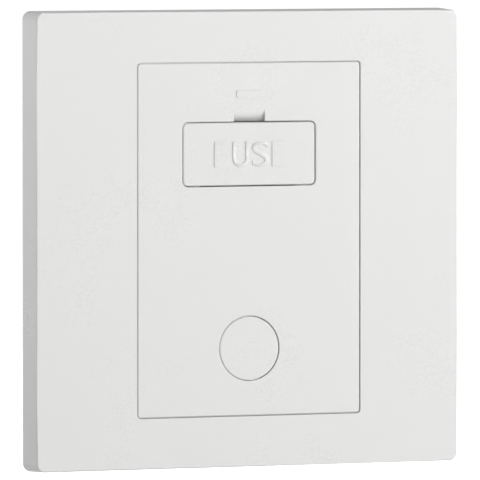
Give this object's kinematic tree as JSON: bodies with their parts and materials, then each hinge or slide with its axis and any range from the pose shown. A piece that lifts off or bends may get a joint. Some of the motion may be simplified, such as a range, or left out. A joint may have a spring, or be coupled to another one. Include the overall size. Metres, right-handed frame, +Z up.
{
  "type": "fused spur unit",
  "caption": "Square fused spur unit for a wall box, with a clip-on cover frame, a pull-out fuse carrier, a plugged front cord outlet and brass terminals behind.",
  "frame": {"origin": "midway between the two fixing holes, on the wall plane", "axes": "+X to the right as seen from the front, +Y into the wall, +Z up; the front faces -Y"},
  "size_m": [0.086, 0.0284, 0.086],
  "materials": {
    "white_moulding": "smooth white moulding",
    "housing_moulding": "plain white moulding",
    "brass": "machined brass",
    "clip_metal": "sprung strip",
    "nickel": "nickel plate",
    "ceramic": "fired ceramic",
    "screw_steel": "zinc-plated steel"
  },
  "bodies": {
    "unit": {"support_frame": "housing_moulding", "front_panel": "white_moulding", "rear_housing": "housing_moulding", "live_supply_terminal": "brass", "live_load_terminal": "brass", "neutral_supply_terminal": "brass", "neutral_load_terminal": "brass", "earth_terminal": "brass", "neutral_link": "brass", "supply_fuse_clip": "clip_metal", "load_fuse_clip": "clip_metal", "terminal_screws": "screw_steel", "cord_clamp": "housing_moulding", "clamp_screws": "screw_steel", "housing_screws": "screw_steel"},
    "cover_frame": {"cover_frame": "white_moulding"},
    "fuse_carrier": {"fuse_carrier": "white_moulding", "fuse_barrel": "ceramic", "fuse_element": "nickel", "supply_fuse_cap": "nickel", "load_fuse_cap": "nickel"},
    "outlet_plug": {"outlet_plug": "white_moulding"}
  },
  "joints": [
    {"name": "cover_frame_slide", "type": "slide", "parent": "unit", "child": "cover_frame", "axis": [0, -1, 0], "range_m": [0, 0.014]},
    {"name": "fuse_carrier_slide", "type": "slide", "parent": "unit", "child": "fuse_carrier", "axis": [0, -1, 0], "range_m": [0, 0.02]},
    {"name": "outlet_plug_slide", "type": "slide", "parent": "unit", "child": "outlet_plug", "axis": [0, -1, 0], "range_m": [0, 0.012]}
  ]
}
